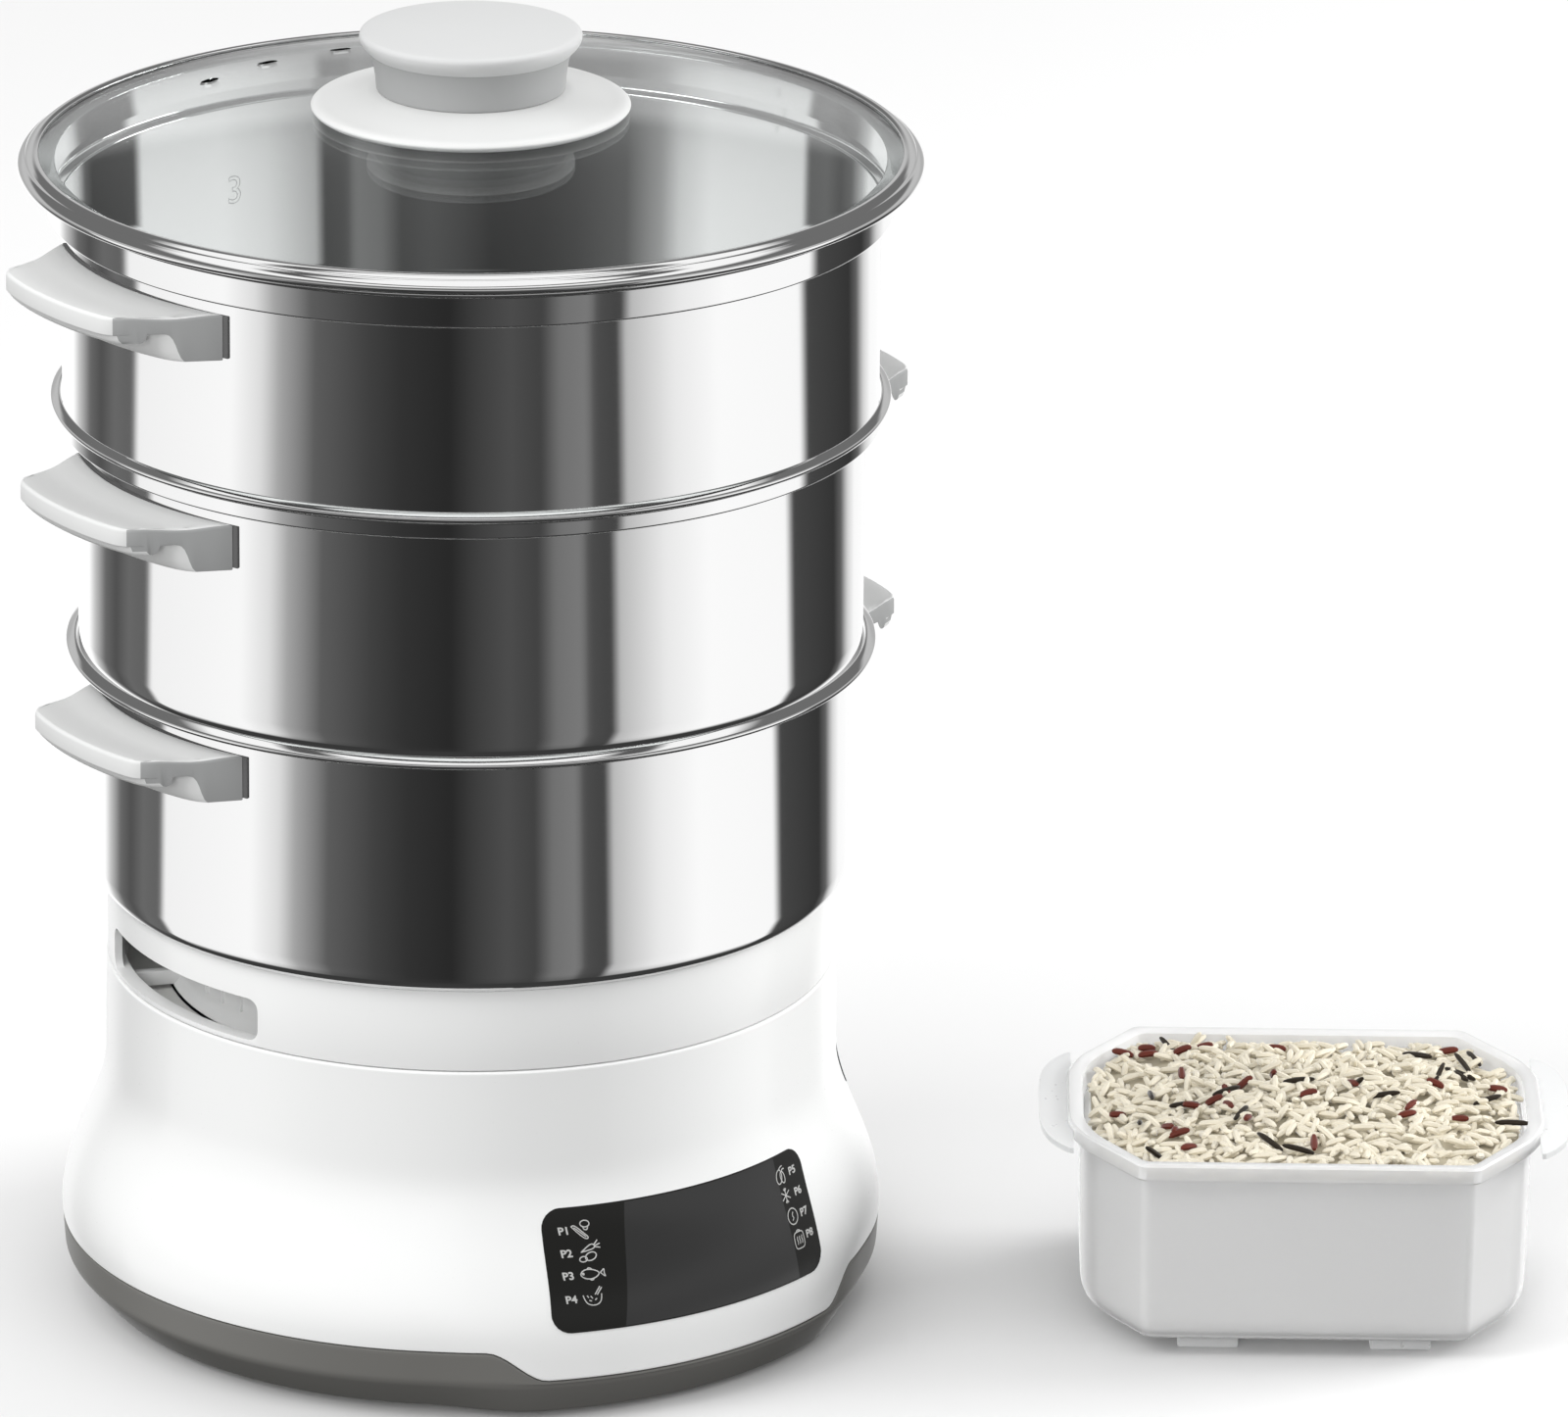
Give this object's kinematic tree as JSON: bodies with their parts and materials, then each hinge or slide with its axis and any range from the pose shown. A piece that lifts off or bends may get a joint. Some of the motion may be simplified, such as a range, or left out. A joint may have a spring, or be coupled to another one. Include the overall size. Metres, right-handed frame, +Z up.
{
  "type": "electric food steamer",
  "caption": "Round electric food steamer: water-heating base with a touch panel, drip tray, stacked steel steam bowls with side handles, glass lid and a rice bowl beside it.",
  "frame": {"origin": "centre of the round base, on the floor that the feet stand on; the underside mount lies 1.2 mm above it on the same axis", "axes": "+Z up along the steamer's axis, -Y towards the control panel, +X to the right of someone who faces the panel"},
  "size_m": [0.4235, 0.3636, 0.3896],
  "materials": {
    "white_body": "satin white",
    "grey_skirt": "warm dark grey, fine texture",
    "panel_film": "black gloss film",
    "gauge_clear": "clear plastic",
    "foot_rubber": "matt",
    "screw_steel": "plain zinc",
    "gland_black": "matt black",
    "board_green": "circuit board",
    "part_black": "black moulding",
    "part_blue": "blue moulding",
    "copper_core": "wound coil",
    "ribbon_grey": "flat cable",
    "tank_plastic": "off-white",
    "seal_rubber": "red silicone",
    "heater_steel": "brushed",
    "element_steel": "dark sheath",
    "clamp_alu": "die cast",
    "fuse_white": "ceramic",
    "lead_white": "silicone sleeve",
    "bowl_steel": "polished stainless steel",
    "handle_grey": "light grey, fine texture",
    "bracket_grey": "dark grey",
    "rivet_steel": "polished",
    "lid_glass": "clear tempered glass",
    "flange_white": "white",
    "knob_grey": "light grey, matt",
    "rice_clear": "clear plastic"
  },
  "bodies": {
    "base": {"base_housing": "white_body", "bottom_cover": "grey_skirt", "rubber_feet": "foot_rubber", "base_screws": "screw_steel", "cord_gland": "gland_black", "control_panel": "panel_film", "water_gauge": "gauge_clear", "touch_board": "board_green", "touch_board_screws": "screw_steel", "power_board": "board_green", "power_board_screws": "screw_steel", "terminal_block": "part_black", "relay": "part_blue", "transformer": "copper_core", "panel_ribbon": "ribbon_grey", "water_tank": "tank_plastic", "heater_seal": "seal_rubber", "heater_plate": "heater_steel", "heating_element": "element_steel", "heater_clamp": "clamp_alu", "heater_screws": "screw_steel", "boil_dry_thermostat": "part_black", "thermal_fuse": "fuse_white", "heater_leads": "lead_white"},
    "tray": {"tray_collar": "white_body", "drip_dish": "white_body"},
    "bottom_steamer": {"bottom_bowl": "bowl_steel", "bottom_handle_left": "handle_grey", "bottom_handle_right": "handle_grey", "bottom_handle_brackets": "bracket_grey", "bottom_handle_rivets": "rivet_steel"},
    "middle_steamer": {"middle_bowl": "bowl_steel", "middle_handle_left": "handle_grey", "middle_handle_right": "handle_grey", "middle_handle_brackets": "bracket_grey", "middle_handle_rivets": "rivet_steel"},
    "top_steamer": {"top_bowl": "bowl_steel", "top_handle_left": "handle_grey", "top_handle_right": "handle_grey", "top_handle_brackets": "bracket_grey", "top_handle_rivets": "rivet_steel"},
    "lid": {"lid_glass": "lid_glass", "lid_rim": "bowl_steel", "knob_flange": "flange_white", "lid_knob": "knob_grey", "knob_seal": "seal_rubber", "knob_screw": "screw_steel"},
    "rice_dish": {"rice_bowl": "rice_clear"}
  },
  "joints": [
    {"name": "tray_lift", "type": "slide", "parent": "base", "child": "tray", "axis": [0, 0, 1], "range_m": [0, 0.05]},
    {"name": "bottom_bowl_lift", "type": "slide", "parent": "tray", "child": "bottom_steamer", "axis": [0, 0, 1], "range_m": [0, 0.06]},
    {"name": "middle_bowl_lift", "type": "slide", "parent": "bottom_steamer", "child": "middle_steamer", "axis": [0, 0, 1], "range_m": [0, 0.06]},
    {"name": "top_bowl_lift", "type": "slide", "parent": "middle_steamer", "child": "top_steamer", "axis": [0, 0, 1], "range_m": [0, 0.06]},
    {"name": "lid_lift", "type": "slide", "parent": "top_steamer", "child": "lid", "axis": [0, 0, 1], "range_m": [0, 0.08]},
    {"name": "rice_bowl_lift", "type": "slide", "parent": "base", "child": "rice_dish", "axis": [0, 0, 1], "range_m": [0, 0.06]}
  ]
}
